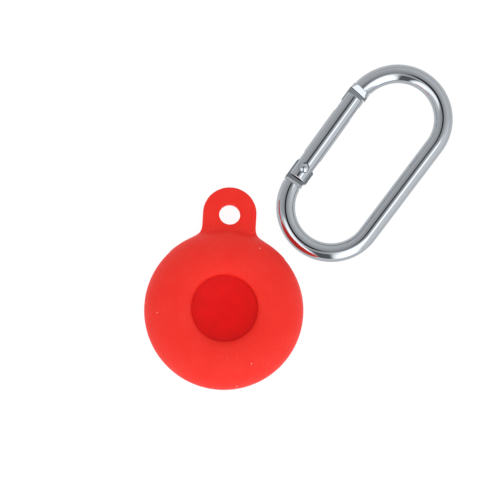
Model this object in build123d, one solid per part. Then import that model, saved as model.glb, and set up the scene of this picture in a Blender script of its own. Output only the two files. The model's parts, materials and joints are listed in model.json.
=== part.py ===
from build123d import *

import math
import os

# Bluetooth tracker tag: a coin-shaped tracker in a red silicone sleeve, beside an oval snap carabiner.
#
# Frame: millimetres, +Z up, origin at the centre of the sleeve's flat back, +Y towards the sleeve's tab.
# The sleeve lies on its back with its round window facing up, and the carabiner lies flat next to it.

# ---- silicone sleeve -------------------------------------------------------------------------
SLEEVE_R = 18.1  # outside radius at the widest level
SLEEVE_H = 11.8  # height of the crown above the back
BACK_FLAT_R = 12.5  # radius of the flat that it rests on
WIDEST_Z = 5.0  # level of the largest radius
CROWN_R = 10.2  # radius of the crown ring around the window
WINDOW_R = 7.6
LIP_DROP = 1.2  # how far the rounded lip falls from the crown to the window's wall
TAB_W = 12.2
TAB_T = 2.0
TAB_HOLE_R = 2.4
TAB_HOLE_Y = 21.95  # from the sleeve's centre to the hole
TAB_TIP = 0.3  # how far the round end's centre lies beyond the hole
TAB_DIP = 8.0  # degrees that the tab leans down towards its tip
TAB_ROOT_Y = 15.5  # where the tab's middle plane crosses WIDEST_Z
TAB_FLARE_R = 2.2  # concave corner between tab and sleeve, seen from above
TAB_EDGE_R = 0.7

# ---- tracker housing ---------------------------------------------------------------------------
FIT = 0.02  # clearance between pieces that rest against each other
TRACKER_R = 15.95
TRACKER_Z0 = 1.6  # inside of the sleeve's back wall
TRACKER_Z1 = 9.6  # underside of the sleeve's front wall
SPLIT_Z = 5.2  # where the front shell meets the base shell
BASE_ROUND_Z = 4.6  # top of the base shell's rounded edge
BASE_FLAT_R = 12.9
FRONT_FLAT_R = 8.6
BUTTON_HOLE_R = 8.3
CEILING_Z = 8.55  # inside of the front shell
SHELL_BORE_R = 14.95  # front shell's bore over the tongue
SHELL_BORE_Z = 6.2
TONGUE_R = 14.9  # base shell's tongue, which fits inside the front shell
TONGUE_Z = 5.93
BEAD_R = 15.02  # snap bead at the tongue's top
SEAL_GROOVE_R = 14.45
BASE_BORE_R = 12.6
RIB_ANGLES = (30, 150, 270)  # front shell's ribs that hold the chassis down

# ---- call button and switch ----------------------------------------------------------------------
BUTTON_R = 8.2
BUTTON_FLANGE_R = 8.9
BUTTON_Z = 8.25  # underside of the button
BUTTON_TOP_Z = 9.5
BUTTON_DISH = 0.75  # depth of the finger dish
DISH_R = 7.9
FOAM_R = 8.35  # inside radius of the foam ring that lifts the button
SWITCH_SIZE = 3.6
STEM_R = 0.85
STEM_TOP_Z = 8.22

# ---- board and chassis -----------------------------------------------------------------------------
BOARD_R = 12.3
BOARD_Z = 6.75
BOARD_T = 0.5
CHASSIS_R = 13.4
CHASSIS_Z = 5.95
CHASSIS_T = 0.5
BUZZER_R = 7.4
CERAMIC_R = 5.2
WELL_Z = 6.15  # floor of the buzzer's well
SCREW_PITCH_R = 11.2
SCREW_R = 0.38
SCREW_ANGLES = (90, 210, 330)

# ---- coin cell and battery cover -------------------------------------------------------------------
CELL_R = 10.0
CELL_Z0 = 2.5
CELL_H = 3.2
CELL_SKIN = 0.25
CAP_R = 8.9
COVER_R = 11.85
COVER_T = 0.85
COVER_WALL_OUT = 11.35
COVER_WALL_IN = 10.25
COVER_WALL_Z = 3.9
LUG_R = 12.3
LUG_Z0, LUG_Z1 = 3.1, 3.65
LUG_ANGLE = 24.0
LEDGE_R = 11.5
LEDGE_Z0, LEDGE_Z1 = 2.6, 3.05
LEDGE_GAP_ANGLE = 30.0
COVER_TWIST = 30.0  # degrees from locked to free
CONTACT_T = 0.15
POSITIVE_ANGLES = (60, 240)
NEGATIVE_ANGLE = 150

# ---- carabiner ----------------------------------------------------------------------------------------
WIRE_R = 2.17
LOOP_R = 10.34  # from the loop's middle line to the wire's centre line
LOOP_HALF = 12.8  # half the straight sides' length
LOOP_X, LOOP_Y = 30.05, 36.05
LOOP_ANGLE = 56.6  # degrees from +X to the loop's long axis
NOSE_BEND_ANGLE = 50.0  # where the nose's bend opens out, degrees from the loop's long axis
NOSE_BEND_GROWTH = 1.8  # how much larger the bend's radius is from there on
NOSE_BEND_END = 86.4
GATE_LEAN = 1.3  # degrees that the closed gate and the nose lean outward from the long axis
LOOP_Z = 2.28  # the wire's centre line above the floor
BLADE_T = 1.7  # thickness of the flattened wire ends
HINGE_SHOULDER_L, NOSE_SHOULDER_L = 0.75, 1.45  # the wedges the stamping leaves between wire and blade
HINGE_SHOULDER_TURN, NOSE_SHOULDER_TURN = 4.0, -7.0  # degrees that they follow the wire's bends
SHOULDER_R = 2.27  # the metal the stamping squeezes out to the sides
SHOULDER_HIGH = 1.95  # their half thickness at the wire
SHOULDER_SLOPE = 24.0  # degrees that they fall towards the blade
SCORE_W, SCORE_DEPTH = 0.3, 0.25  # the fine groove behind each wedge
NOSE_END_U = 11.85  # along the loop's long axis, from its centre
NOSE_TIP_U = 8.0
NOSE_ROOT_IN = 2.4  # the nose's reach at its root, inside the gate's line
HINGE_END_U = -13.1
PIVOT_U = -9.45
GATE_R = 2.24
GATE_U0, GATE_U1 = -12.2, 10.9
SLOT_H = 1.9
HINGE_SLOT_U = -6.1
NOSE_SLOT_U = 5.63
NOSE_WALL_U = 9.42  # the bridge across the slot that stops against the nose
NOSE_WALL_T = 0.7
SPRING_BORE_R = 1.25
SPRING_BORE_U = 3.6
RIVET_R = 0.8
RIVET_HEAD_R = 1.2
RIVET_HEAD_H = 0.48
CHEEK_FLAT_Z = 1.75  # the cheeks are spot-faced to this height for the rivet's heads
CAM_REACH = 2.45  # from the pivot to the plunger's face with the gate shut
CAM_RISE = 0.6  # how far the plunger backs away for each radian of gate swing
GATE_SWING = 30.0
TANG_IN, TANG_OUT = 2.56, 2.33  # the tang's reach to each side of the pivot
PLUNGER_R = 1.2
PLUNGER_L = 2.6
SPRING_WIRE_R = 0.16
SPRING_COIL_R = 0.95
SPRING_TURNS = 9

PARTS = "parts"


def save(shape, name):
    """Writes one node's solids."""
    export_step(shape, os.path.join(PARTS, name + ".step"))


def run(*points):
    """Straight edges through (radius, height) points."""
    return [Line((a[0], 0, a[1]), (b[0], 0, b[1])) for a, b in zip(points, points[1:])]


def quarter(centre, across, up, start):
    """A quarter of an ellipse in the radius and height plane, from an angle in degrees."""
    return Plane.XZ * EllipticalCenterArc(centre, across, up, start, arc_size=90)


def spun(*edges):
    """A closed outline in the radius and height plane, turned all the way round Z."""
    return revolve(make_face(edges), Axis.Z)


def ring(r_in, r_out, z0, z1):
    """A flat ring between two radii and two levels, or a disc if r_in is 0."""
    outline = Circle(r_out)
    if r_in > 0:
        outline -= Circle(r_in)
    return Pos(0, 0, z0) * extrude(outline, z1 - z0)


def dome(radius, height, z0):
    """A cap of a sphere standing on level z0."""
    curve = (radius**2 + height**2) / (2 * height)
    return Pos(0, 0, z0 + height - curve) * Sphere(curve) & ring(0, radius + 1, z0, z0 + height + 1)


def wedge(angle, width, r_in, r_out, z0, z1):
    """A piece of a ring, width degrees wide and centred on angle."""
    reach = 2 * r_out
    half = math.radians(width / 2)
    corner = (reach * math.cos(half), reach * math.sin(half))
    sector = Polygon((0, 0), (corner[0], -corner[1]), corner, align=None)
    return ring(r_in, r_out, z0, z1) & Rot(0, 0, angle) * Pos(0, 0, z0) * extrude(sector, z1 - z0)


def block(x, y, z0, size_x, size_y, height):
    """A box standing on level z0, centred on x, y."""
    return Pos(x, y, z0) * extrude(Rectangle(size_x, size_y), height)


def at(radius, angle, shape):
    """Moves a shape drawn at the origin out to a radius, then round by an angle."""
    return Rot(0, 0, angle) * Pos(radius, 0, 0) * shape


def rounded(shape, size, keep):
    """Rounds the edges whose middle satisfies keep."""
    return fillet([e for e in shape.edges() if keep(e.center())], size)


# ---- sleeve --------------------------------------------------------------------------------------------


def tracker_space(gap):
    """The tracker's envelope, grown by gap on every side."""
    r = TRACKER_R + gap
    low = TRACKER_Z0 - gap
    high = TRACKER_Z1 + gap
    return spun(
        *run((0, low), (BASE_FLAT_R, low)),
        quarter((BASE_FLAT_R, BASE_ROUND_Z), r - BASE_FLAT_R, BASE_ROUND_Z - low, 270),
        *run((r, BASE_ROUND_Z), (r, SPLIT_Z)),
        quarter((FRONT_FLAT_R, SPLIT_Z), r - FRONT_FLAT_R, high - SPLIT_Z, 0),
        *run((FRONT_FLAT_R, high), (0, high), (0, low)),
    )


def tab_plane():
    """The tab's middle plane: origin at the hole, normal leaning towards the tip."""
    fall = math.radians(TAB_DIP)
    middle = (0, TAB_HOLE_Y, WIDEST_Z - (TAB_HOLE_Y - TAB_ROOT_Y) * math.tan(fall))
    return Plane(origin=middle, x_dir=(1, 0, 0), z_dir=(0, math.sin(fall), math.cos(fall)))


def sleeve_tab():
    """The flat tab, flared where it meets the sleeve."""
    length = TAB_HOLE_Y + TAB_TIP
    outline = Pos(0, TAB_TIP) * Circle(TAB_W / 2) + Pos(0, TAB_TIP - length / 2) * Rectangle(TAB_W, length)
    outline += Pos(0, -TAB_HOLE_Y) * Circle(SLEEVE_R - 0.3)
    corners = [v for v in outline.vertices() if abs(abs(v.X) - TAB_W / 2) < 0.01 and v.Y < -1]
    outline = fillet(corners, TAB_FLARE_R)
    outline &= Pos(0, TAB_ROOT_Y - TAB_HOLE_Y + 20) * Rectangle(60, 44)
    tab = extrude(outline, TAB_T / 2, both=True)
    tab -= extrude(Circle(TAB_HOLE_R), TAB_T, both=True)
    face = 0.49 * TAB_T
    tab = rounded(tab, TAB_EDGE_R, lambda c: abs(c.Z) > face and c.Y > -8 and c.length > 4)
    tab = rounded(tab, 0.25, lambda c: abs(c.Z) > face and math.hypot(c.X, c.Y) < 1.5 * TAB_HOLE_R)
    return tab_plane() * tab


def silicone_sleeve():
    """Round sleeve with a window in front and a tab for hanging it."""
    shell = spun(
        *run((0, 0), (BACK_FLAT_R, 0)),
        quarter((BACK_FLAT_R, WIDEST_Z), SLEEVE_R - BACK_FLAT_R, WIDEST_Z, 270),
        quarter((CROWN_R, WIDEST_Z), SLEEVE_R - CROWN_R, SLEEVE_H - WIDEST_Z, 0),
        quarter((CROWN_R, SLEEVE_H - LIP_DROP), CROWN_R - WINDOW_R, LIP_DROP, 90),
        *run((WINDOW_R, SLEEVE_H - LIP_DROP), (WINDOW_R, SPLIT_Z), (0, SPLIT_Z), (0, 0)),
    )
    return shell + sleeve_tab() - tracker_space(FIT)


# ---- housing -------------------------------------------------------------------------------------------


def front_shell():
    """Domed front half, with the button's hole, a snap groove and ribs over the chassis."""
    inside = spun(
        *run((0, SPLIT_Z - 1), (SHELL_BORE_R, SPLIT_Z - 1), (SHELL_BORE_R, SHELL_BORE_Z)),
        quarter((FRONT_FLAT_R, SHELL_BORE_Z), SHELL_BORE_R - FRONT_FLAT_R, CEILING_Z - SHELL_BORE_Z, 0),
        *run((FRONT_FLAT_R, CEILING_Z), (0, CEILING_Z), (0, SPLIT_Z - 1)),
    )
    shell = tracker_space(0) - ring(0, 20, 0, SPLIT_Z + FIT) - inside
    shell -= ring(0, BUTTON_HOLE_R, CEILING_Z - 1, TRACKER_Z1 + 1)
    shell -= ring(TONGUE_R, BEAD_R + 0.1, 5.72, 6.02)
    for angle in RIB_ANGLES:
        shell += wedge(angle, 8, CHASSIS_R - 0.8, CHASSIS_R - 0.1, BOARD_Z + BOARD_T + FIT, 8.2)
    return shell


def base_shell():
    """Back half: tongue with a seal groove and snap bead, and the ledges of the cover's twist lock."""
    shell = (tracker_space(0) & ring(0, 20, 0, SPLIT_Z)) + ring(BASE_BORE_R, TONGUE_R, SPLIT_Z - 1, TONGUE_Z)
    shell += ring(TONGUE_R - 0.2, BEAD_R, 5.8, TONGUE_Z)
    shell -= ring(SEAL_GROOVE_R, TONGUE_R + 1, 5.35, 5.72)
    shell -= ring(0, COVER_R + 0.05, 0, LEDGE_Z0)
    shell -= ring(0, LEDGE_R, 0, LEDGE_Z1)
    shell -= ring(0, BASE_BORE_R, LEDGE_Z1, TONGUE_Z + 1)
    for turn in (0, 120, 240):
        shell -= wedge(turn, LEDGE_GAP_ANGLE, LEDGE_R - 0.2, BASE_BORE_R, LEDGE_Z0 - 0.1, LEDGE_Z1 + 0.1)
        for stop in (-LUG_ANGLE / 2 - 2.5, COVER_TWIST + LUG_ANGLE / 2 + 2.5):
            shell += wedge(turn + stop, 3, LEDGE_R + 0.1, BASE_BORE_R + 0.3, LEDGE_Z0, LUG_Z1 + 0.1)
    return shell


def housing_seal():
    """Rubber ring in the tongue's groove."""
    seal = ring(SEAL_GROOVE_R + FIT, SHELL_BORE_R - FIT, 5.37, 5.7)
    return rounded(seal, 0.1, lambda c: True)


def chassis():
    """Moulded tray: buzzer well, board ledge, screw bosses and the wall round the cell."""
    floor = CHASSIS_Z + CHASSIS_T
    tray = ring(0, CHASSIS_R, CHASSIS_Z, floor)
    tray += ring(BOARD_R + 0.1, CHASSIS_R, floor, BOARD_Z + BOARD_T)
    tray += ring(BOARD_R - 0.5, BOARD_R + 0.2, floor, BOARD_Z - FIT)
    tray += ring(CELL_R + 0.35, CELL_R + 1.15, 4.0, CHASSIS_Z)
    for angle in SCREW_ANGLES:
        tray += at(SCREW_PITCH_R, angle, ring(0, 1.1, floor, BOARD_Z - FIT))
        tray -= at(SCREW_PITCH_R, angle, ring(0, SCREW_R + FIT, CHASSIS_Z + 0.1, BOARD_Z))
    tray -= ring(0, BUZZER_R + 0.1, WELL_Z, floor)
    for angle in POSITIVE_ANGLES:
        tray -= at(CELL_R + 0.15, angle, block(0, 0, 3.9, 0.45, 2.6, 3))
    tray -= at(CAP_R - 0.15, NEGATIVE_ANGLE, block(0, 0, CHASSIS_Z - 0.1, 0.4, 2.2, 1))
    return tray


def board_screws():
    """Three small cross-recess screws that hold the board on the chassis."""
    top = BOARD_Z + BOARD_T + FIT
    screw = ring(0, SCREW_R, CHASSIS_Z + 0.2, top) + ring(0, 0.85, top, top + 0.35)
    screw = rounded(screw, 0.12, lambda c: c.Z > top + 0.3)
    screw -= block(0, 0, top + 0.17, 0.95, 0.2, 1) + block(0, 0, top + 0.17, 0.2, 0.95, 1)
    return Compound(children=[at(SCREW_PITCH_R, angle, screw) for angle in SCREW_ANGLES])


# ---- call button and switch ------------------------------------------------------------------------------


def call_button():
    """Round button with a finger dish and a flange that keeps it under the front shell."""
    deep = BUTTON_TOP_Z - BUTTON_DISH
    curve = (DISH_R**2 + BUTTON_DISH**2) / (2 * BUTTON_DISH)
    half = DISH_R / 2
    middle = (half, 0, deep + curve - math.sqrt(curve**2 - half**2))
    brim = BUTTON_Z + 0.25
    rim = quarter((DISH_R, BUTTON_TOP_Z - 0.3), BUTTON_R - DISH_R, 0.3, 0)
    cap = spun(
        *run((0, BUTTON_Z), (BUTTON_FLANGE_R, BUTTON_Z), (BUTTON_FLANGE_R, brim), (BUTTON_R, brim)),
        *run((BUTTON_R, brim), (BUTTON_R, BUTTON_TOP_Z - 0.3)),
        rim,
        ThreePointArc((DISH_R, 0, BUTTON_TOP_Z), middle, (0, 0, deep)),
        *run((0, deep), (0, BUTTON_Z)),
    )
    return cap


def button_foam():
    """Foam ring that lifts the button's flange off the board."""
    return ring(FOAM_R, BUTTON_FLANGE_R - 0.05, BOARD_Z + BOARD_T, BUTTON_Z)


def switch_base():
    """Plastic base of the tact switch, with the dome's well and two side terminals."""
    z = BOARD_Z + BOARD_T + FIT
    base = block(0, 0, z, SWITCH_SIZE, SWITCH_SIZE, 0.58) - ring(0, 1.5, z + 0.16, z + 1)
    for x in (-SWITCH_SIZE / 2, SWITCH_SIZE / 2):
        base += block(x, 0, z, 0.8, 1.2, 0.14)
    return base


def switch_dome():
    """Snap dome under the switch's stem."""
    z = BOARD_Z + BOARD_T + 0.2
    return dome(1.4, 0.21, z) - dome(1.3, 0.15, z)


def switch_frame():
    """Steel plate that keeps the stem in the switch."""
    z = BOARD_Z + BOARD_T + 0.62
    frame = block(0, 0, z, SWITCH_SIZE - 0.2, SWITCH_SIZE - 0.2, 0.08) - ring(0, STEM_R + 0.05, z - 1, z + 1)
    return rounded(frame, 0.4, lambda c: abs(c.X) > 1.69 and abs(c.Y) > 1.69)


def switch_stem():
    """Stem between the dome and the button."""
    z = BOARD_Z + BOARD_T + 0.45
    stem = ring(0, 1.3, z, z + 0.1) + ring(0, STEM_R, z, STEM_TOP_Z)
    return rounded(stem, 0.1, lambda c: c.Z > STEM_TOP_Z - 0.01)


# ---- board, radio and buzzer -------------------------------------------------------------------------------


def circuit_board():
    board = ring(0, BOARD_R, BOARD_Z, BOARD_Z + BOARD_T)
    for angle in SCREW_ANGLES:
        board -= at(SCREW_PITCH_R, angle, ring(0, SCREW_R + 0.1, BOARD_Z - 1, BOARD_Z + 1))
    return board


def on_board(x, y, size_x, size_y, height):
    """A part standing on the board's top."""
    return block(x, y, BOARD_Z + BOARD_T + FIT, size_x, size_y, height)


def bluetooth_chip():
    top = BOARD_Z + BOARD_T + FIT + 0.6
    chip = rounded(on_board(-4.7, 2.9, 4, 4, 0.6), 0.08, lambda c: c.Z > top - 0.01)
    return chip - Pos(-6.1, 4.3, top - 0.04) * extrude(Circle(0.22), 1)


def crystal():
    case = on_board(-1.0, 5.9, 2.5, 2.0, 0.3) + on_board(-1.0, 5.9, 2.2, 1.7, 0.5)
    return case


def motion_sensor():
    top = BOARD_Z + BOARD_T + FIT + 0.6
    case = on_board(-4.6, -3.2, 2, 2, 0.6)
    return case - Pos(-5.3, -2.5, top - 0.04) * extrude(Circle(0.14), 1)


def passives():
    """Chip capacitors and resistors, all one size."""
    spots = [(3.4, 5.2), (4.8, 5.2), (6.2, 3.4), (4.9, -2.9), (6.3, -2.9)]
    spots += [(-1.9, -5.0), (-0.5, -5.0), (0.9, -5.0)]
    return Compound(children=[on_board(x, y, 0.5, 1.0, 0.35) for x, y in spots])


def antenna_trace():
    """Meandering copper aerial along the board's edge, with its feed."""
    z0 = BOARD_Z + BOARD_T + FIT
    z1 = z0 + 0.04
    trace = wedge(109, 4, 9.3, 11.9, z0, z1)
    for step in range(9):
        bar = 109 + 9 * step
        if step:
            trace += wedge(bar, 2, 9.5, 11.9, z0, z1)
        level = 11.5 if step % 2 == 0 else 9.5
        trace += wedge(bar + 4.5, 10.5, level, level + 0.4, z0, z1)
    return trace


def buzzer_plate():
    return ring(0, BUZZER_R, WELL_Z + FIT, WELL_Z + 0.12)


def buzzer_ceramic():
    return ring(0, CERAMIC_R, WELL_Z + 0.14, WELL_Z + 0.26)


def spring_pin(z0):
    """Sprung pin that presses on the buzzer from under the board."""
    return ring(0, 0.5, BOARD_Z - 0.14, BOARD_Z - FIT) + ring(0, 0.3, z0, BOARD_Z - FIT)


def plate_contact():
    return at(6.4, 300, spring_pin(WELL_Z + 0.14))


def ceramic_contact():
    return at(2.6, 300, spring_pin(WELL_Z + 0.28))


# ---- coin cell and battery cover ---------------------------------------------------------------------------


def cell_can():
    """Positive can: a shallow cup crimped over the gasket."""
    top = CELL_Z0 + CELL_H - 0.15
    can = ring(0, CELL_R, CELL_Z0, top)
    can = rounded(can, 0.3, lambda c: c.Z < CELL_Z0 + 0.01)
    can -= ring(0, CELL_R - CELL_SKIN, CELL_Z0 + CELL_SKIN, top - 0.1)
    return can - ring(0, CAP_R + 0.45, top - 0.2, top + 1)


def cell_cap():
    """Negative cap: an inverted cup inside the gasket."""
    top = CELL_Z0 + CELL_H
    cap = rounded(ring(0, CAP_R, CELL_Z0 + 0.7, top), 0.3, lambda c: c.Z > top - 0.01)
    return cap - ring(0, CAP_R - CELL_SKIN, CELL_Z0 + 0.6, top - CELL_SKIN)


def cell_gasket():
    """Plastic seal between can and cap."""
    low = CELL_Z0 + CELL_SKIN + FIT
    gasket = ring(CAP_R - 0.5, CELL_R - CELL_SKIN - FIT, low, CELL_Z0 + CELL_H - 0.27)
    gasket -= ring(0, CAP_R + FIT, CELL_Z0 + 0.68, CELL_Z0 + CELL_H)
    return gasket + ring(CAP_R + FIT, CAP_R + 0.42, CELL_Z0 + CELL_H - 0.4, CELL_Z0 + CELL_H - 0.1)


def cell_cathode():
    return ring(0, CAP_R - 0.55, CELL_Z0 + CELL_SKIN + FIT, CELL_Z0 + 1.9)


def cell_separator():
    return ring(0, CAP_R - 0.4, CELL_Z0 + 1.92, CELL_Z0 + 2.0)


def cell_anode():
    return ring(0, CAP_R - 0.4, CELL_Z0 + 2.02, CELL_Z0 + CELL_H - CELL_SKIN - FIT)


def positive_contacts():
    """Two leaf strips that press on the can's side and rise to the board."""
    low = CELL_Z0 + 1.7
    top = BOARD_Z - FIT
    strip = block(0, 0, low, CONTACT_T, 2.2, top - low) + block(0.4, 0, top - CONTACT_T, 0.8, 2.2, CONTACT_T)
    return Compound(children=[at(CELL_R + 0.15, angle, strip) for angle in POSITIVE_ANGLES])


def negative_contact():
    """Strip that lies on the cap, then rises to the board."""
    low = CELL_Z0 + CELL_H + FIT
    top = BOARD_Z - FIT
    out = CAP_R - 0.15
    strip = block(out / 2 - 1, 0, low, out + 2 + CONTACT_T, 1.8, CONTACT_T)
    strip += block(out, 0, low, CONTACT_T, 1.8, top - low)
    strip += block(out + 0.4, 0, top - CONTACT_T, 0.8, 1.8, CONTACT_T)
    return Rot(0, 0, NEGATIVE_ANGLE) * strip


def battery_cover():
    """Twist-lock cover with a coin slot, three lugs and a groove for its seal."""
    disc = ring(0, COVER_R, TRACKER_Z0, TRACKER_Z0 + COVER_T)
    disc = rounded(disc, 0.12, lambda c: c.Z < TRACKER_Z0 + 0.01)
    disc -= ring(COVER_R - 0.45, COVER_R + 1, TRACKER_Z0 + 0.27, TRACKER_Z0 + 0.63)
    disc -= block(0, 0, TRACKER_Z0 - 1, 9, 1.5, 1.4)
    disc += ring(COVER_WALL_IN, COVER_WALL_OUT, TRACKER_Z0 + COVER_T, COVER_WALL_Z)
    for turn in (0, 120, 240):
        disc += wedge(COVER_TWIST + turn, LUG_ANGLE, COVER_WALL_OUT - 0.2, LUG_R, LUG_Z0, LUG_Z1)
    return disc


def cover_seal():
    seal = ring(COVER_R - 0.43, COVER_R + 0.03, TRACKER_Z0 + 0.29, TRACKER_Z0 + 0.61)
    return rounded(seal, 0.1, lambda c: True)


# ---- carabiner, drawn along +X and then turned into place --------------------------------------------------


def placed(shape):
    """From the loop's own frame (long axis +X, gate side +Y, wire centres at height 0) to the floor."""
    return Pos(LOOP_X, LOOP_Y, LOOP_Z) * Rot(0, 0, LOOP_ANGLE) * shape


def leaned(shape):
    """Turns a shape drawn on the gate's straight line to the line that the gate really closes on."""
    return Pos(PIVOT_U, LOOP_R, 0) * Rot(0, 0, GATE_LEAN) * Pos(-PIVOT_U, -LOOP_R, 0) * shape


def rod(u0, u1, radius):
    """Round bar along the gate's line."""
    return Plane(origin=(u0, LOOP_R, 0), z_dir=(1, 0, 0)) * extrude(Circle(radius), u1 - u0)


def plate(points, thickness):
    """Flat plate on the gate's line, outlined by (along, outward) points."""
    outline = Polygon(*[(u, LOOP_R + v) for u, v in points], align=None)
    return extrude(outline, thickness / 2, both=True)


def cam_point(angle):
    """Point of the tang's cam that the plunger touches when the gate has swung by angle."""
    reach = CAM_REACH + CAM_RISE * angle
    u = reach * math.cos(angle) - CAM_RISE * math.sin(angle)
    v = -reach * math.sin(angle) - CAM_RISE * math.cos(angle)
    return PIVOT_U + u, v


def tang():
    """Hinge blade: round the pivot, with a cam that pushes the plunger back as the gate swings in."""
    flank = [
        (HINGE_END_U - 0.3, -2.0),
        (HINGE_END_U + 0.5, -2.1),
        (HINGE_END_U + 0.9, -TANG_IN),
        (PIVOT_U + 0.15, -TANG_IN),
        (PIVOT_U + 0.6, -1.96),
        (PIVOT_U + 2.0, -1.96),
    ]
    cam = [cam_point(math.radians(GATE_SWING * step / 10)) for step in range(10, -1, -1)]
    back = [
        (PIVOT_U + CAM_REACH, 0.9),
        (PIVOT_U + 1.5, 1.9),
        (PIVOT_U + 0.63, TANG_OUT),
        (HINGE_END_U - 0.3, TANG_OUT),
    ]
    blade = plate(flank + cam + back, BLADE_T)
    return blade - Pos(PIVOT_U, LOOP_R, 0) * extrude(Circle(RIVET_R + 0.05), 2, both=True)


def nose():
    """Blade that the gate closes over."""
    inner = -GATE_R + NOSE_WALL_T + 0.03
    root = GATE_U1 + 0.2
    points = [
        (NOSE_END_U + 0.3, -NOSE_ROOT_IN),
        (root, -NOSE_ROOT_IN),
        (root, inner),
        (NOSE_TIP_U + 0.3, inner),
        (NOSE_TIP_U, inner + 0.3),
        (NOSE_TIP_U, GATE_R - 0.5),
        (NOSE_TIP_U + 0.5, GATE_R),
        (NOSE_END_U + 0.3, GATE_R),
    ]
    return plate(points, BLADE_T)


def shoulder(end, length, turn):
    """Stamped wedge where the wire meets its blade, and what the stamping takes off the wire."""
    side = math.copysign(1, end)
    far = end + side * length
    low = SHOULDER_HIGH - length * math.tan(math.radians(SHOULDER_SLOPE))
    outline = [(end, -low), (far, -SHOULDER_HIGH), (far, SHOULDER_HIGH), (end, low)]
    wedge_side = Plane(origin=(0, LOOP_R, 0), x_dir=(1, 0, 0), z_dir=(0, -1, 0))
    stamped = extrude(wedge_side * Polygon(*outline, align=None), WIRE_R + 1, both=True)
    stamped = stamped & rod(min(end, far) - 1, max(end, far) + 1, SHOULDER_R)
    stamped = rounded(stamped, 0.1, lambda c: abs(c.X - end) < 0.3 or abs(c.X - far) < 0.3)
    taken = rod(*sorted((end - side * 2, far - side * 0.05)), WIRE_R + 1)
    score = rod(*sorted((far, far + side * SCORE_W)), WIRE_R + 1)
    taken += score - rod(*sorted((far - side, far + side)), WIRE_R - SCORE_DEPTH)
    to_wire = Pos(end, LOOP_R, 0) * Rot(0, 0, turn) * Pos(-end, -LOOP_R, 0)
    return to_wire * stamped, to_wire * taken


def carabiner_body():
    """Bent wire whose two ends are flattened to blades."""
    opened = math.radians(NOSE_BEND_ANGLE)
    shift = (LOOP_HALF - NOSE_BEND_GROWTH * math.cos(opened), -NOSE_BEND_GROWTH * math.sin(opened))
    last = NOSE_BEND_END - NOSE_BEND_ANGLE
    path = Wire(
        [
            CenterArc((-LOOP_HALF, 0), LOOP_R, 90, 180),
            Line((-LOOP_HALF, -LOOP_R), (LOOP_HALF, -LOOP_R)),
            CenterArc((LOOP_HALF, 0), LOOP_R, -90, 90 + NOSE_BEND_ANGLE),
            CenterArc(shift, LOOP_R + NOSE_BEND_GROWTH, NOSE_BEND_ANGLE, last),
        ]
    )
    section = Plane(origin=(-LOOP_HALF, LOOP_R, 0), x_dir=(0, 1, 0), z_dir=(-1, 0, 0)) * Circle(WIRE_R)
    body = sweep(section, path=path)
    stamped, taken = shoulder(HINGE_END_U, HINGE_SHOULDER_L, HINGE_SHOULDER_TURN)
    body = body - taken + stamped
    stamped, taken = shoulder(NOSE_END_U, NOSE_SHOULDER_L, NOSE_SHOULDER_TURN)
    body = body - leaned(taken) + leaned(stamped)
    return placed(body + leaned(tang()) + leaned(nose()))


def gate_sleeve():
    """Round gate, slotted at both ends and bored for its spring."""
    gate = rod(GATE_U0, GATE_U1, GATE_R)
    gate = rounded(gate, 0.3, lambda c: c.X < GATE_U0 + 0.01 or c.X > GATE_U1 - 0.01)
    hinge = (GATE_U0 + HINGE_SLOT_U) / 2
    gate -= Pos(hinge - 1, LOOP_R, 0) * Box(HINGE_SLOT_U - GATE_U0 + 2, 3 * GATE_R, SLOT_H)
    middle = (NOSE_SLOT_U + GATE_U1) / 2 + 1
    slot = Pos(middle, LOOP_R, 0) * Box(GATE_U1 - NOSE_SLOT_U + 2, 3 * GATE_R, SLOT_H)
    inner, outer = -GATE_R - 1, NOSE_WALL_T - GATE_R
    bridge = plate([(NOSE_WALL_U, inner), (20, inner), (20, outer), (NOSE_WALL_U, outer)], 2 * GATE_R)
    gate -= slot - bridge
    gate -= rod(GATE_U0 - 1, SPRING_BORE_U, SPRING_BORE_R)
    pin = Pos(PIVOT_U, LOOP_R, 0)
    gate -= pin * extrude(Circle(RIVET_R + 0.01), GATE_R, both=True)
    for side in (1, -1):
        gate -= pin * Pos(0, 0, side * (CHEEK_FLAT_Z + 1)) * Cylinder(RIVET_HEAD_R + 0.04, 2)
    return placed(leaned(gate))


def hinge_rivet():
    """Rivet with a low dome at each end."""
    pin = ring(0, RIVET_R, -CHEEK_FLAT_Z - 0.1, CHEEK_FLAT_Z + 0.1)
    head = dome(RIVET_HEAD_R, RIVET_HEAD_H, CHEEK_FLAT_Z + 0.01)
    return placed(Pos(PIVOT_U, LOOP_R, 0) * (pin + head + Rot(180, 0, 0) * head))


def spring_plunger():
    """Round plunger between the gate's spring and the tang's cam."""
    face = PIVOT_U + CAM_REACH + 0.01
    body = rounded(rod(face, face + PLUNGER_L, PLUNGER_R), 0.1, lambda c: True)
    return placed(leaned(body))


def gate_spring():
    """Coil spring behind the plunger."""
    near = PIVOT_U + CAM_REACH + PLUNGER_L + SPRING_WIRE_R + 0.03
    far = SPRING_BORE_U - SPRING_WIRE_R - 0.02
    coil = Helix((far - near) / SPRING_TURNS, far - near, SPRING_COIL_R)
    section = Plane(origin=coil @ 0, z_dir=coil % 0) * Circle(SPRING_WIRE_R)
    spring = sweep(section, path=coil, is_frenet=True)
    return placed(leaned(Plane(origin=(near, LOOP_R, 0), z_dir=(1, 0, 0)) * spring))


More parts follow.
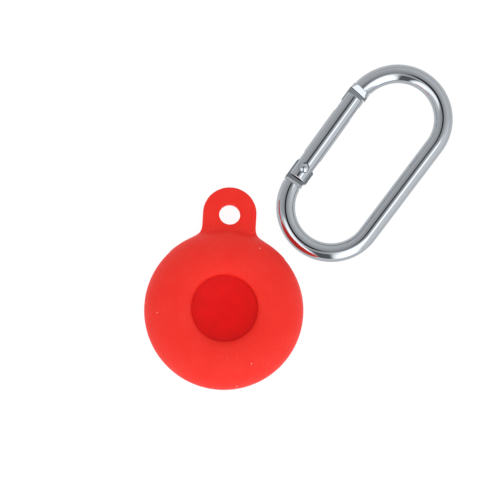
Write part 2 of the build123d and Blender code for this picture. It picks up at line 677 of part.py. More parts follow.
os.makedirs(PARTS, exist_ok=True)
PIECES = {
    "silicone_sleeve": silicone_sleeve,
    "front_shell": front_shell,
    "base_shell": base_shell,
    "housing_seal": housing_seal,
    "chassis": chassis,
    "board_screws": board_screws,
    "call_button": call_button,
    "button_foam": button_foam,
    "switch_base": switch_base,
    "switch_dome": switch_dome,
    "switch_frame": switch_frame,
    "switch_stem": switch_stem,
    "circuit_board": circuit_board,
    "bluetooth_chip": bluetooth_chip,
    "crystal": crystal,
    "motion_sensor": motion_sensor,
    "passives": passives,
    "antenna_trace": antenna_trace,
    "buzzer_plate": buzzer_plate,
    "buzzer_ceramic": buzzer_ceramic,
    "plate_contact": plate_contact,
    "ceramic_contact": ceramic_contact,
    "cell_can": cell_can,
    "cell_cap": cell_cap,
    "cell_gasket": cell_gasket,
    "cell_cathode": cell_cathode,
    "cell_separator": cell_separator,
    "cell_anode": cell_anode,
    "positive_contacts": positive_contacts,
    "negative_contact": negative_contact,
    "battery_cover": battery_cover,
    "cover_seal": cover_seal,
    "carabiner_body": carabiner_body,
    "gate_sleeve": gate_sleeve,
    "hinge_rivet": hinge_rivet,
    "spring_plunger": spring_plunger,
    "gate_spring": gate_spring,
}
for name, piece in PIECES.items():
    save(piece(), name)
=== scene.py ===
import json
import math
import bpy
import bmesh
import numpy as np
from mathutils import Matrix, Vector


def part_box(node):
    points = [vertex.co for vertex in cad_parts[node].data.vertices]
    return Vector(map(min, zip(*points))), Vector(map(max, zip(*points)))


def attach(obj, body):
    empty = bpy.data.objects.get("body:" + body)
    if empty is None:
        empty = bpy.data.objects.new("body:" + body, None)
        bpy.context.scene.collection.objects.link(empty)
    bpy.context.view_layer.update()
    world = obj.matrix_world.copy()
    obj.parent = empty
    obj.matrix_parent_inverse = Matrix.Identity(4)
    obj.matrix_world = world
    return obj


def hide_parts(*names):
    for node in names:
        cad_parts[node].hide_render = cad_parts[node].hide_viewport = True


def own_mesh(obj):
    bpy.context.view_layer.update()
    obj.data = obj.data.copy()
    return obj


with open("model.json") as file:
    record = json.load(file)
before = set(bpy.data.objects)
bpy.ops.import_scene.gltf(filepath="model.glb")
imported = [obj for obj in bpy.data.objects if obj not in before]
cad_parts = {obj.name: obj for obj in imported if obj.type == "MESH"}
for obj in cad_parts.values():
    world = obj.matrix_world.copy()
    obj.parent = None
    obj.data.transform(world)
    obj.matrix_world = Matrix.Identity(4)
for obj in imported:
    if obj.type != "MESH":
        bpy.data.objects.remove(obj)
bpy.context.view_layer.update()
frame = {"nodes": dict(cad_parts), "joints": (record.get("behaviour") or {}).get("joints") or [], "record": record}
nodes = frame["nodes"]
joints = {joint["name"]: joint for joint in frame["joints"]}
mounts = {mount["name"]: mount for mount in frame["record"]["mounts"]}
scene = bpy.context.scene
MM = 0.001

# ---- camera --------------------------------------------------------------------------------------------
VIEW_WIDTH = 113.65 * MM  # what the picture takes in at the aim
ROLL = math.radians(3.55)  # the tab leans this far clockwise of the picture's up
RIGHT = Vector((math.cos(ROLL), math.sin(ROLL), 0))
UP = Vector((-math.sin(ROLL), math.cos(ROLL), 0))
DISTANCE = 1500 * MM
AIM = 5.96 * MM * RIGHT + 13.82 * MM * UP + Vector((0, 0, 5 * MM))
TILT, LEAN = math.radians(5.8), math.radians(2.0)
back = Vector((0, 0, 1)) - math.tan(TILT) * UP - math.tan(LEAN) * RIGHT
back.normalize()
camera_data = bpy.data.cameras.new("camera")
camera_data.sensor_width = 36
camera_data.lens = camera_data.sensor_width * DISTANCE / VIEW_WIDTH
camera_data.clip_start, camera_data.clip_end = 0.01, 20
camera = bpy.data.objects.new("camera", camera_data)
scene.collection.objects.link(camera)
camera.location = AIM + DISTANCE * back
side = UP.cross(back).normalized()
top = back.cross(side)
camera.matrix_world = Matrix((
    (side.x, top.x, back.x, camera.location.x),
    (side.y, top.y, back.y, camera.location.y),
    (side.z, top.z, back.z, camera.location.z),
    (0, 0, 0, 1),
))
scene.camera = camera
scene.view_settings.view_transform = "Standard"


# ---- node helpers --------------------------------------------------------------------------------------
class Nodes:
    """Short way to wire a node tree."""

    def __init__(self, tree):
        self.tree = tree

    def add(self, kind, settings=None, **inputs):
        node = self.tree.nodes.new(kind)
        for key, value in (settings or {}).items():
            setattr(node, key, value)
        for key, value in inputs.items():
            name = key.replace("_", " ")
            socket = node.inputs[int(key[1:])] if key[1:].isdigit() else node.inputs[name]
            if isinstance(value, bpy.types.NodeSocket):
                self.tree.links.new(value, socket)
            else:
                socket.default_value = value
        return node

    def math(self, operation, a, b=0.0, clamp=False):
        return self.add("ShaderNodeMath", {"operation": operation, "use_clamp": clamp}, i0=a, i1=b).outputs[0]

    def remap(self, value, low, high, to_low=0.0, to_high=1.0):
        node = self.add("ShaderNodeMapRange", i0=value, i1=low, i2=high, i3=to_low, i4=to_high)
        return node.outputs[0]

    def mix(self, share, a, b):
        node = self.add("ShaderNodeMix", {"data_type": "RGBA"})
        for index, value in ((0, share), (6, a), (7, b)):
            if isinstance(value, bpy.types.NodeSocket):
                self.tree.links.new(value, node.inputs[index])
            else:
                node.inputs[index].default_value = value if index == 0 else (*value[:3], 1)
        return node.outputs[2]

    def place(self, scale=(1, 1, 1), turn=(0, 0, 0), shift=(0, 0, 0)):
        """Object coordinates in millimetres, turned and stretched."""
        coords = self.add("ShaderNodeTexCoord").outputs["Object"]
        moved = self.add("ShaderNodeVectorMath", {"operation": "SCALE"}, i0=coords, Scale=1000.0).outputs[0]
        kind = {"vector_type": "POINT"}
        turned = self.add("ShaderNodeMapping", kind, Vector=moved, Location=shift, Rotation=turn).outputs[0]
        return self.add("ShaderNodeVectorMath", {"operation": "MULTIPLY"}, i0=turned, i1=scale).outputs[0]

    def noise(self, vector, scale, detail=3.0, roughness=0.55):
        node = self.add("ShaderNodeTexNoise", Vector=vector, Scale=scale, Detail=detail, Roughness=roughness)
        return node.outputs[0]

    def cells(self, vector, scale, feature="F1", randomness=1.0):
        kind = {"feature": feature}
        return self.add("ShaderNodeTexVoronoi", kind, Vector=vector, Scale=scale, Randomness=randomness)

    def bump(self, height, strength, distance, normal=None):
        """Distance is in millimetres."""
        node = self.add("ShaderNodeBump", Height=height, Strength=strength, Distance=distance * MM)
        if normal:
            self.tree.links.new(normal, node.inputs["Normal"])
        return node.outputs[0]


def material(name):
    """A new material's node helper and its principled shader."""
    made = bpy.data.materials.new(name)
    made.use_nodes = True
    shader = made.node_tree.nodes["Principled BSDF"]
    return made, Nodes(made.node_tree), shader


def feed(n, shader, **inputs):
    for key, value in inputs.items():
        socket = shader.inputs[key.replace("_", " ")]
        if isinstance(value, bpy.types.NodeSocket):
            n.tree.links.new(value, socket)
        elif isinstance(value, (tuple, list)) and len(value) == 3 and socket.type == "RGBA":
            socket.default_value = (*value, 1)
        else:
            socket.default_value = value


# ---- materials -----------------------------------------------------------------------------------------
def silicone():
    """Matte moulded silicone: fine grain, faint mottling and a few specks of dust."""
    made, n, shader = material("silicone_red")
    flat = n.place()
    mottle = n.noise(flat, 0.22, 4)
    grain = n.noise(flat, 9.0, 2, 0.7)
    base = n.mix(n.remap(mottle, 0.35, 0.68), (0.885, 0.024, 0.013), (0.91, 0.029, 0.017))
    base = n.mix(n.remap(grain, 0.3, 0.75, 0.0, 0.5), base, (0.76, 0.012, 0.007))
    fine = n.remap(n.noise(flat, 5.5, 1), 0.60, 0.68)
    powder = n.math("MULTIPLY", fine, n.remap(n.noise(flat, 0.12, 2), 0.45, 0.6))
    base = n.mix(n.math("MULTIPLY", powder, 0.16), base, (0.95, 0.30, 0.26))
    specks = n.cells(flat, 0.34)
    size = n.remap(n.noise(flat, 0.31, 0), 0.5, 0.75, 0.0, 0.085)
    dust = n.math("LESS_THAN", specks.outputs["Distance"], size)
    base = n.mix(n.math("MULTIPLY", dust, 0.45), base, (0.95, 0.62, 0.58))
    bump = n.bump(grain, 0.35, 0.02)
    bump = n.bump(n.noise(flat, 1.3, 3), 0.12, 0.03, bump)
    bump = n.bump(dust, 0.5, 0.03, bump)
    feed(n, shader, Base_Color=base, Normal=bump, Roughness=n.remap(grain, 0.2, 0.8, 0.52, 0.66))
    feed(n, shader, Subsurface_Weight=0.25, Subsurface_Radius=(1.0, 0.12, 0.08), Subsurface_Scale=0.0012)
    feed(n, shader, IOR=1.41, Specular_IOR_Level=0.36)
    return made


def button_plastic():
    """Satin moulded plastic with a fine spark-eroded texture."""
    made, n, shader = material("button_red")
    flat = n.place()
    grit = n.noise(flat, 14.0, 2, 0.7)
    cloud = n.noise(flat, 0.35, 3)
    base = n.mix(n.remap(cloud, 0.35, 0.65), (0.71, 0.0008, 0.0008), (0.775, 0.001, 0.001))
    specks = n.cells(flat, 0.55)
    size = n.remap(n.noise(flat, 0.5, 0), 0.56, 0.8, 0.0, 0.09)
    dust = n.math("LESS_THAN", specks.outputs["Distance"], size)
    base = n.mix(n.math("MULTIPLY", dust, 0.35), base, (0.85, 0.45, 0.42))
    bump = n.bump(grit, 0.22, 0.012)
    feed(n, shader, Base_Color=base, Normal=bump, Roughness=n.remap(grit, 0.2, 0.8, 0.36, 0.5))
    feed(n, shader, Subsurface_Weight=0.08, Subsurface_Radius=(0.8, 0.08, 0.06), Subsurface_Scale=0.0006)
    feed(n, shader, IOR=1.46, Specular_IOR_Level=0.2)
    return made


def steel(name, tone, rough, along=None, scratch=0.5):
    """Polished steel: faint haze and scratches every way, drawing lines along an angle if it is given, and painted
    shade that darkens the colour where the surface turns away from the view.
    """
    made, n, shader = material(name)
    flat = n.place()
    haze = n.noise(flat, 0.5, 4)
    lines = None
    for index, (x, y, z) in enumerate(((0.3, 0.1, 0.5), (1.1, 0.6, 2.1), (-0.4, 1.2, 1.2), (0.8, -0.9, 0.2))):
        hair = n.noise(n.place((0.25, 9.0, 9.0), (x, y, z), (7.0 * index, 3.0, 5.0)), 1.6, 2, 0.8)
        hair = n.remap(hair, 0.63, 0.72)
        lines = hair if lines is None else n.math("MAXIMUM", lines, hair)
    edge_shade_mask = n.add("ShaderNodeLayerWeight", Blend=0.5).outputs["Facing"]
    dull, clean = [tone * c for c in (0.90, 0.96, 1.03)], [tone * c for c in (0.95, 1.01, 1.09)]
    base = n.mix(n.remap(haze, 0.3, 0.7), dull, clean)
    # painted shade: the colour darkens to 0.58 of the dull tone where the surface turns away from the view,
    # standing in for darker reflections at the edges
    base = n.mix(n.remap(edge_shade_mask, 0.22, 0.36), base, [c * 0.58 for c in dull])
    worn = n.math("MULTIPLY", lines, scratch)
    level = n.math("ADD", n.remap(haze, 0.3, 0.7, rough, rough * 1.6), n.math("MULTIPLY", worn, 0.10))
    bump = n.bump(lines, 0.10 * scratch, 0.004)
    bump = n.bump(haze, 0.12, 0.02, bump)
    if along is not None:
        drawn = n.noise(n.place((0.15, 14.0, 14.0), (0, 0, -along)), 1.2, 2, 0.7)
        bump = n.bump(drawn, 0.18, 0.006, bump)
        level = n.math("ADD", level, n.remap(drawn, 0.35, 0.7, 0.0, 0.08))
    feed(n, shader, Base_Color=base, Metallic=1.0, Roughness=level, Normal=bump)
    return made


def plastic(name, dark, light, rough=0.42, grit=0.25, scatter=0.0):
    """Moulded plastic: spark-eroded grain and faint flow marks."""
    made, n, shader = material(name)
    flat = n.place()
    grain = n.noise(flat, 11.0, 2, 0.7)
    flow = n.noise(n.place((0.5, 0.12, 0.5)), 1.0, 4)
    base = n.mix(n.remap(flow, 0.35, 0.65), dark, light)
    bump = n.bump(grain, grit, 0.015)
    bump = n.bump(flow, 0.12, 0.05, bump)
    level = n.remap(grain, 0.25, 0.75, rough - 0.07, rough + 0.1)
    feed(n, shader, Base_Color=base, Normal=bump, Roughness=level)
    feed(n, shader, Subsurface_Weight=scatter, Subsurface_Scale=0.0008)
    return made


def rubber(name, tone, pore_scale=0.0):
    """Seal rubber, or foam where pore_scale gives it open cells, with painted shade darkening the inside of each
    pore.
    """
    made, n, shader = material(name)
    flat = n.place()
    grain = n.noise(flat, 16.0, 3, 0.7)
    base = n.mix(n.remap(grain, 0.3, 0.75), tone, [c * 1.7 + 0.01 for c in tone])
    bump = n.bump(grain, 0.4, 0.02)
    if pore_scale:
        pores = n.cells(flat, pore_scale).outputs["Distance"]
        # painted shade: the inside of each pore is painted darker, as shade in the open cells
        base = n.mix(n.remap(pores, 0.15, 0.55), [c * 0.35 for c in tone], base)
        bump = n.bump(pores, 0.9, 0.08, bump)
    feed(n, shader, Base_Color=base, Normal=bump, Roughness=n.remap(grain, 0.2, 0.8, 0.6, 0.85))
    return made


def metal(name, dark, light, rough, rings=0.0, centre=(0, 0, 0)):
    """Plated or rolled metal: tarnish clouds and either turned rings round Z or rolling lines."""
    made, n, shader = material(name)
    flat = n.place(shift=[-c for c in centre])
    cloud = n.noise(flat, 0.45, 4)
    if rings:
        parts = n.add("ShaderNodeSeparateXYZ", Vector=flat)
        squares = [n.math("POWER", parts.outputs[axis], 2.0) for axis in (0, 1)]
        radius = n.math("SQRT", n.math("ADD", *squares))
        line = n.noise(n.add("ShaderNodeCombineXYZ", X=radius, Y=0.0, Z=0.0).outputs[0], rings, 3, 0.8)
    else:
        line = n.noise(n.place((0.2, 8.0, 8.0)), 1.5, 2, 0.8)
    base = n.mix(n.remap(cloud, 0.3, 0.7), dark, light)
    bump = n.bump(line, 0.3, 0.008)
    level = n.remap(line, 0.3, 0.7, rough - 0.05, rough + 0.08)
    level = n.math("ADD", level, n.remap(cloud, 0.4, 0.8, 0.0, 0.1))
    feed(n, shader, Base_Color=base, Metallic=1.0, Normal=bump, Roughness=level)
    return made


def printed_board():
    """Solder mask over copper tracks, with plated vias."""
    made, n, shader = material("solder_mask")
    flat = n.place()
    weave = {"offset": 0.35, "squash": 0.6, "squash_frequency": 3}
    bricks = {"Mortar_Size": 0.075, "Mortar_Smooth": 0.05, "Brick_Width": 1.7, "Row_Height": 0.38}
    tracks = n.add("ShaderNodeTexBrick", weave, Vector=flat, Scale=0.55, **bricks)
    copper = tracks.outputs["Fac"]
    vias = n.cells(flat, 0.62, randomness=0.8).outputs["Distance"]
    via = n.math("LESS_THAN", vias, 0.11)
    hole = n.math("LESS_THAN", vias, 0.055)
    cloud = n.noise(flat, 3.0, 3)
    mask = n.mix(n.remap(cloud, 0.3, 0.7), (0.004, 0.075, 0.030), (0.007, 0.10, 0.042))
    base = n.mix(copper, mask, (0.018, 0.20, 0.085))
    base = n.mix(via, base, (0.72, 0.52, 0.24))
    # painted shade: the middle of each via is painted near-black, as shade inside its hole
    base = n.mix(hole, base, (0.015, 0.02, 0.015))
    bump = n.bump(copper, 0.5, 0.03)
    bump = n.bump(n.math("SUBTRACT", via, hole), 0.5, 0.03, bump)
    feed(n, shader, Base_Color=base, Normal=bump, Roughness=n.remap(cloud, 0.3, 0.7, 0.24, 0.4))
    feed(n, shader, Metallic=n.math("MULTIPLY", via, 0.8))
    return made


def passive_ceramic():
    """Ceramic chips: brown ceramic with a fine grain."""
    made, n, shader = material("chip_ceramic")
    flat = n.place()
    grain = n.noise(flat, 9.0, 3)
    base = n.mix(n.remap(grain, 0.3, 0.7), (0.30, 0.20, 0.11), (0.42, 0.30, 0.18))
    level = n.remap(grain, 0.3, 0.7, 0.4, 0.6)
    feed(n, shader, Base_Color=base, Roughness=level, Normal=n.bump(grain, 0.3, 0.01))
    return made


red = silicone()
loop_turn = math.atan2(joints["plunger_slide"]["axis"][1], joints["plunger_slide"]["axis"][0])
polished = steel("polished_steel", 0.72, 0.035)
gate_steel = steel("gate_steel", 0.72, 0.04, along=loop_turn)
rivet_steel = steel("rivet_steel", 0.74, 0.13)
spring_steel = steel("spring_steel", 0.55, 0.25)
black_plastic = plastic("housing_black", (0.018, 0.018, 0.020), (0.030, 0.030, 0.033))
cover_plastic = plastic("cover_black", (0.022, 0.022, 0.024), (0.036, 0.036, 0.040), 0.38)
cream_plastic = plastic("chassis_cream", (0.52, 0.50, 0.45), (0.62, 0.60, 0.55), 0.5, scatter=0.1)
PAINT = {
    "front_shell": black_plastic,
    "base_shell": black_plastic,
    "housing_seal": rubber("seal_black", (0.012, 0.012, 0.012)),
    "chassis": cream_plastic,
    "board_screws": steel("screw_steel", 0.5, 0.28),
    "call_button": button_plastic(),
    "switch_base": plastic("switch_black", (0.010, 0.010, 0.010), (0.02, 0.02, 0.02), 0.35),
    "switch_frame": metal("switch_steel", (0.62, 0.62, 0.60), (0.74, 0.74, 0.72), 0.25),
    "switch_stem": plastic("stem_white", (0.66, 0.65, 0.61), (0.74, 0.73, 0.70), 0.3, 0.1, 0.1),
    "circuit_board": printed_board(),
    "bluetooth_chip": plastic("chip_epoxy", (0.008, 0.008, 0.009), (0.016, 0.016, 0.017), 0.55, 0.6),
    "crystal": metal("crystal_lid", (0.60, 0.58, 0.52), (0.74, 0.72, 0.66), 0.22),
    "motion_sensor": plastic("sensor_epoxy", (0.010, 0.010, 0.012), (0.020, 0.020, 0.022), 0.5, 0.6),
    "passives": passive_ceramic(),
    "antenna_trace": metal("copper", (0.72, 0.33, 0.16), (0.86, 0.46, 0.26), 0.3),
    "buzzer_plate": metal("buzzer_brass", (0.66, 0.47, 0.16), (0.80, 0.61, 0.27), 0.28, rings=6.0),
    "buzzer_ceramic": plastic("piezo_silver", (0.62, 0.61, 0.57), (0.72, 0.71, 0.68), 0.4, 0.5),
    "plate_contact": metal("contact_gold", (0.78, 0.55, 0.22), (0.88, 0.68, 0.33), 0.2),
    "ceramic_contact": metal("pin_gold", (0.78, 0.55, 0.22), (0.88, 0.68, 0.33), 0.2),
    "cell_can": metal("cell_can_steel", (0.60, 0.60, 0.60), (0.74, 0.74, 0.75), 0.26, rings=5.0),
    "cell_cap": metal("cell_cap_steel", (0.58, 0.58, 0.59), (0.72, 0.72, 0.73), 0.32, rings=4.0),
    "cell_gasket": plastic("gasket_clear", (0.70, 0.72, 0.74), (0.78, 0.80, 0.82), 0.3, 0.1, 0.3),
    "cell_cathode": rubber("cathode_black", (0.010, 0.010, 0.011)),
    "cell_separator": plastic("separator_white", (0.74, 0.74, 0.72), (0.82, 0.82, 0.80), 0.7, 0.5, 0.2),
    "cell_anode": metal("lithium_grey", (0.34, 0.35, 0.36), (0.48, 0.49, 0.50), 0.45),
    "positive_contacts": metal("leaf_bronze", (0.68, 0.47, 0.24), (0.80, 0.60, 0.36), 0.24),
    "negative_contact": metal("strip_bronze", (0.68, 0.47, 0.24), (0.80, 0.60, 0.36), 0.24),
    "battery_cover": cover_plastic,
    "cover_seal": rubber("cover_seal_black", (0.012, 0.012, 0.012)),
    "carabiner_body": polished,
    "gate_sleeve": gate_steel,
    "hinge_rivet": rivet_steel,
    "spring_plunger": spring_steel,
}
for name, paint in PAINT.items():
    mesh = nodes[name].data
    mesh.materials.clear()
    mesh.materials.append(paint)


# ---- mesh helpers --------------------------------------------------------------------------------------
def piece(name, mesh, paint, body, slot, *stands_for):
    """A new object that stands for CAD nodes and rides on their body."""
    made = bpy.data.objects.new(name, mesh)
    scene.collection.objects.link(made)
    mesh.materials.clear()
    mesh.materials.append(paint)
    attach(made, body)
    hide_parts(*stands_for)
    return made


def smooth(mesh, angle=40):
    mesh.polygons.foreach_set("use_smooth", [True] * len(mesh.polygons))
    mesh.set_sharp_from_angle(angle=math.radians(angle))


def mesh_of(name, points, faces):
    mesh = bpy.data.meshes.new(name)
    mesh.from_pydata([tuple(p) for p in points], [], faces)
    build = bmesh.new()
    build.from_mesh(mesh)
    bmesh.ops.recalc_face_normals(build, faces=build.faces)
    build.to_mesh(mesh)
    build.free()
    return mesh


def turned(name, profile, steps=128):
    """Closed ring of (radius, height) points in metres, turned round Z."""
    count = len(profile)
    points = []
    for step in range(steps):
        a = 2 * math.pi * step / steps
        points += [(r * math.cos(a), r * math.sin(a), z) for r, z in profile]
    faces = []
    for step in range(steps):
        here, there = step * count, (step + 1) % steps * count
        for i in range(count):
            after = (i + 1) % count
            faces.append((here + i, here + after, there + after, there + i))
    return mesh_of(name, points, faces)


def coil(name, start, end, radius, wire, turns, ground=1.0, sides=12, steps=36):
    """Compression spring from start to end, with its last turns closed up."""
    start, end = Vector(start), Vector(end)
    along = (end - start).normalized()
    across = along.orthogonal().normalized()
    other = along.cross(across)
    length = (end - start).length
    count = int(turns * steps)
    points, faces = [], []
    for i in range(count + 1):
        t = i / count * turns
        open_turns = turns - 2 * ground
        lift = 2 * wire * min(t, ground) + 2 * wire * max(t - turns + ground, 0)
        lift += (length - 4 * wire * ground - 2 * wire) * min(max(t - ground, 0), open_turns) / open_turns
        a = 2 * math.pi * t
        out = math.cos(a) * across + math.sin(a) * other
        centre = start + along * (wire + lift) + out * radius
        for k in range(sides):
            b = 2 * math.pi * k / sides
            points.append(centre + wire * (math.cos(b) * out + math.sin(b) * along))
    for i in range(count):
        for k in range(sides):
            a, b = i * sides + k, i * sides + (k + 1) % sides
            faces.append((a, b, b + sides, a + sides))
    faces.append(tuple(range(sides)))
    faces.append(tuple(count * sides + k for k in range(sides)))
    return mesh_of(name, points, faces)


# ---- silicone sleeve -----------------------------------------------------------------------------------
# All in millimetres: the outside, the window's lip, the tab and its hole, and the hollow for the tracker.
SLEEVE_R, SLEEVE_H, BACK_R, WIDEST = 18.1, 11.8, 12.5, 5.0
CROWN_R, WINDOW_R, LIP_DROP = 10.2, 7.6, 1.2
TAB_W, TAB_TIP, TAB_START_Y = 6.1, 0.3, 13.0
TAB_EDGE, TAB_FLAT = 0.7, 0.3
TAB_DISC_R, TAB_FILLET, TAB_BLEND = SLEEVE_R - 0.4, 2.6, 0.8
TAB_HOLE_R, TAB_HOLE_ROUND = 2.4, 0.35
WINDOW_ROUND, HOLLOW_ROUND = 0.15, 0.12
TRACKER_R, TRACKER_LOW, TRACKER_HIGH = 15.97, 1.58, 9.62
BELLY_R, BELLY_Z = 12.9, 4.6
SHOULDER_R, SHOULDER_Z = 8.6, 5.2
FAR_INSIDE = -9.0


def length2(a, b):
    return np.sqrt(a * a + b * b)


def soft_min(a, b, k):
    h = np.clip(0.5 + 0.5 * (b - a) / k, 0, 1)
    return b * (1 - h) + a * h - k * h * (1 - h)


def soft_max(a, b, k):
    return -soft_min(-a, -b, k)


def ellipse(x, y, a, b):
    """Near distance to an ellipse's edge, negative inside."""
    q = np.maximum(length2(x / a, y / b), 1e-4)
    slope = length2(x / (a * a * q), y / (b * b * q))
    return (q - 1) / np.maximum(slope, 1e-4)


def sleeve_distance(p):
    """Near distance in millimetres from points to the sleeve's surface, negative inside."""
    x, y, z = p[:, 0], p[:, 1], p[:, 2]
    r = length2(x, y)
    low = ellipse(np.maximum(r - BACK_R, 0), WIDEST - z, SLEEVE_R - BACK_R, WIDEST)
    high = ellipse(np.maximum(r - CROWN_R, 0), z - WIDEST, SLEEVE_R - CROWN_R, SLEEVE_H - WIDEST)
    body = np.where(z < WIDEST, np.maximum(low, -z), np.maximum(high, z - SLEEVE_H))
    lip_z = SLEEVE_H - LIP_DROP
    lip = ellipse(np.maximum(CROWN_R - r, 0), z - lip_z, CROWN_R - WINDOW_R, LIP_DROP)
    hole = np.where(z > lip_z, lip, WINDOW_R - r)
    hole = np.where((r < CROWN_R) & (z > WIDEST), hole, FAR_INSIDE)
    hole_x, hole_y, hole_z = [c / MM for c in mounts["tab_hole"]["pos_m"]]
    tip_x, tip_y, tip_z = mounts["tab_hole"]["axis"]
    along = (y - hole_y) * tip_z - (z - hole_z) * tip_y
    across = x - hole_x
    rise = (y - hole_y) * tip_y + (z - hole_z) * tip_z
    strip = np.maximum(np.abs(across) - TAB_W, along - TAB_TIP)
    outline = np.minimum(length2(across, along - TAB_TIP) - TAB_W, strip)
    disc = length2(across, along + hole_y) - TAB_DISC_R
    outline = soft_min(outline, disc, TAB_FILLET)
    outline = np.maximum(outline, TAB_START_Y - y)
    flank, skin = outline + TAB_EDGE, np.abs(rise) - TAB_FLAT
    tab = length2(np.maximum(flank, 0), np.maximum(skin, 0)) + np.minimum(np.maximum(flank, skin), 0)
    bore = length2(across, along) - TAB_HOLE_R
    tab = soft_max(tab - TAB_EDGE, -bore, TAB_HOLE_ROUND)
    whole = soft_min(body, tab, TAB_BLEND)
    whole = soft_max(whole, hole, WINDOW_ROUND)
    below = ellipse(np.maximum(r - BELLY_R, 0), BELLY_Z - z, TRACKER_R - BELLY_R, BELLY_Z - TRACKER_LOW)
    crown = TRACKER_HIGH - SHOULDER_Z
    above = ellipse(np.maximum(r - SHOULDER_R, 0), z - SHOULDER_Z, TRACKER_R - SHOULDER_R, crown)
    hollow = np.where(z > SHOULDER_Z, above, r - TRACKER_R)
    hollow = np.where(z < BELLY_Z, np.maximum(below, TRACKER_LOW - z), hollow)
    hollow = np.maximum(hollow, z - TRACKER_HIGH)
    return soft_max(whole, -hollow, HOLLOW_ROUND)


def sleeve_mesh():
    """The CAD sleeve remeshed finely, then settled onto its exact rounded surface."""
    draft = bpy.data.objects.new("sleeve_draft", nodes["silicone_sleeve"].data.copy())
    scene.collection.objects.link(draft)
    remesh = draft.modifiers.new("remesh", "REMESH")
    remesh.mode = "VOXEL"
    remesh.voxel_size = 0.27 * MM
    bpy.context.view_layer.update()
    mesh = bpy.data.meshes.new_from_object(draft.evaluated_get(bpy.context.evaluated_depsgraph_get()))
    bpy.data.objects.remove(draft)
    count = len(mesh.vertices)
    points = np.zeros(count * 3, np.float32)
    mesh.vertices.foreach_get("co", points)
    points = points.reshape(-1, 3).astype(float) / MM
    ends = np.zeros(len(mesh.edges) * 2, np.int32)
    mesh.edges.foreach_get("vertices", ends)
    ends = ends.reshape(-1, 2)
    step = 0.01
    nudges = step * np.eye(3)
    for turn in range(6):
        if turn < 4:
            total, weight = np.zeros_like(points), np.zeros(count)
            for a, b in ((0, 1), (1, 0)):
                np.add.at(total, ends[:, a], points[ends[:, b]])
                np.add.at(weight, ends[:, a], 1)
            points += 0.5 * (total / weight[:, None] - points)
        for _ in range(3):
            value = sleeve_distance(points)
            slope = np.stack([sleeve_distance(points + d) - sleeve_distance(points - d) for d in nudges], 1)
            slope /= 2 * step
            size = np.maximum((slope**2).sum(1), 0.2)
            move = -np.clip(value, -0.3, 0.3)[:, None] * slope / size[:, None]
            points += move
    mesh.vertices.foreach_set("co", (points * MM).astype(np.float32).ravel())
    mesh.name = "sleeve_skin"
    smooth(mesh, 45)
    return mesh


sleeve_skin = piece("sleeve_skin", sleeve_mesh(), red, "holder", "silicone", "silicone_sleeve")

# ---- soft and springy pieces inside --------------------------------------------------------------------
foam_low, foam_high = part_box("button_foam")
outer, inner = foam_high.x, 8.35 * MM
soft = 0.12 * MM  # how far the foam's corners are rounded
foam_ring = []
foam_corners = (
    (outer, foam_low.z, 270),
    (outer, foam_high.z, 0),
    (inner, foam_high.z, 90),
    (inner, foam_low.z, 180),
)
for x, z, turn in foam_corners:
    cx = x - soft if x == outer else x + soft
    cz = z + soft if z == foam_low.z else z - soft
    for k in range(5):
        a = math.radians(turn + 90 * k / 4)
        foam_ring.append((cx + soft * math.cos(a), cz + soft * math.sin(a)))
foam_mesh = turned("foam_pad", foam_ring, 160)
smooth(foam_mesh)
foam_paint = rubber("foam_grey", (0.10, 0.10, 0.11), 3.2)
foam = piece("foam_pad", foam_mesh, foam_paint, "holder", "foam", "button_foam")
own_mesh(foam)

dome_low, dome_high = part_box("switch_dome")
dome_height, dome_radius = dome_high.z - dome_low.z, dome_high.x
skin = 0.05 * MM  # the dome's thickness
over = [(dome_radius * k / 14, dome_height * (1 - (k / 14) ** 2)) for k in range(15)]
under = [(r * 0.94, max(h - skin, 0) if k < 14 else 0) for k, (r, h) in enumerate(over)]
shell = [(max(r, 1e-6), dome_low.z + h) for r, h in over + under[::-1]]
dome_mesh = turned("snap_dome", shell, 64)
smooth(dome_mesh)
dome_paint = metal("dome_steel", (0.66, 0.66, 0.64), (0.78, 0.78, 0.76), 0.18, rings=9.0)
dome = piece("snap_dome", dome_mesh, dome_paint, "holder", "switch_metal", "switch_dome")
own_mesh(dome)

along = Vector(joints["plunger_slide"]["axis"]).normalized()
pivot = Vector(joints["gate_swing"]["pos_m"])
SPRING_START, SPRING_END = 5.08 * MM, 13.03 * MM  # from the pivot: the plunger's back and the bore's end
SPRING_R, SPRING_WIRE_R, SPRING_TURNS = 0.95 * MM, 0.16 * MM, 11
near = pivot + along * SPRING_START
far = pivot + along * SPRING_END
spring_mesh = coil("gate_coil", near, far, SPRING_R, SPRING_WIRE_R, SPRING_TURNS)
smooth(spring_mesh)
spring = piece("gate_coil", spring_mesh, spring_steel, "gate", "spring_steel", "gate_spring")
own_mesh(spring)

# ---- floor and light -----------------------------------------------------------------------------------
floor_mesh = mesh_of("floor", [(-2, -2, 0), (2, -2, 0), (2, 2, 0), (-2, 2, 0)], [(0, 1, 2, 3)])
floor_paint, n, shader = material("floor_white")
flat = n.place()
feed(n, shader, Base_Color=n.mix(n.noise(flat, 0.05, 3), [0.11] * 3, [0.13] * 3), Roughness=0.9)
feed(n, shader, Specular_IOR_Level=0.0, Emission_Color=(1, 1, 1), Emission_Strength=0.93)
floor_mesh.materials.append(floor_paint)
floor = bpy.data.objects.new("floor", floor_mesh)
floor.location.z = -0.00002
scene.collection.objects.link(floor)

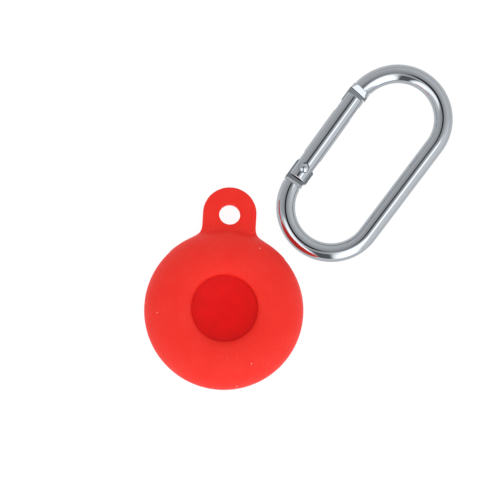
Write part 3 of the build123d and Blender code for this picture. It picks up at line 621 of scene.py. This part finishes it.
world = bpy.data.worlds.new("studio")
scene.world = world
world.use_nodes = True
world.node_tree.nodes.clear()
n = Nodes(world.node_tree)
ray = n.add("ShaderNodeTexCoord").outputs["Generated"]
across = n.add("ShaderNodeVectorMath", {"operation": "DOT_PRODUCT"}, i0=ray, i1=tuple(side)).outputs["Value"]
upward = n.add("ShaderNodeVectorMath", {"operation": "DOT_PRODUCT"}, i0=ray, i1=tuple(top)).outputs["Value"]


def band(value, low, high, soft):
    """1 between two limits and 0 beyond them."""
    rise = n.remap(value, low - soft, low + soft)
    return n.math("MULTIPLY", rise, n.remap(value, high - soft, high + soft, 1, 0))


def distance(x, y, wide):
    """Distance from a point of the sky, seen flattened by wide."""
    dx = n.math("DIVIDE", n.math("SUBTRACT", across, x), wide)
    dy = n.math("SUBTRACT", upward, y)
    return n.math("SQRT", n.math("ADD", n.math("MULTIPLY", dx, dx), n.math("MULTIPLY", dy, dy)))


room = n.remap(distance(-0.05, 0.15, 1), 0.2, 0.85, 0.33, 0.57)
room = n.math("ADD", room, n.remap(upward, 0.15, -0.1, 0.0, 0.12))
room = n.math("ADD", room, n.math("MULTIPLY", across, 0.07))
right_box = n.math("MULTIPLY", band(across, 0.13, 0.60, 0.06), band(upward, -0.99, -0.02, 0.05))
left_box = n.math("MULTIPLY", band(across, -0.70, -0.31, 0.06), band(upward, -0.97, 0.03, 0.05))
gap = n.math("MULTIPLY", band(across, -0.25, 0.07, 0.04), n.remap(upward, -0.28, -0.42))
lit = n.math("MULTIPLY", room, n.remap(gap, 0, 1, 1.0, 0.17))
lit = n.math("MULTIPLY", lit, n.remap(distance(-0.08, 0.14, 0.65), 0.20, 0.27, 0.04, 1.0))
lit = n.math("ADD", lit, n.math("MULTIPLY", right_box, 0.9))
lit = n.math("ADD", lit, n.math("MULTIPLY", left_box, 0.75))
tone = n.add("ShaderNodeBackground", Color=(1, 1, 1, 1), Strength=lit)
n.add("ShaderNodeOutputWorld", Surface=tone.outputs[0])
overhead = bpy.data.objects.new("overhead", bpy.data.lights.new("overhead", "SUN"))
overhead.data.energy = 1.1
overhead.data.angle = math.radians(150)
overhead.visible_glossy = False
overhead.location = AIM + 0.5 * back
overhead.rotation_euler = back.to_track_quat("Z", "Y").to_euler()
scene.collection.objects.link(overhead)
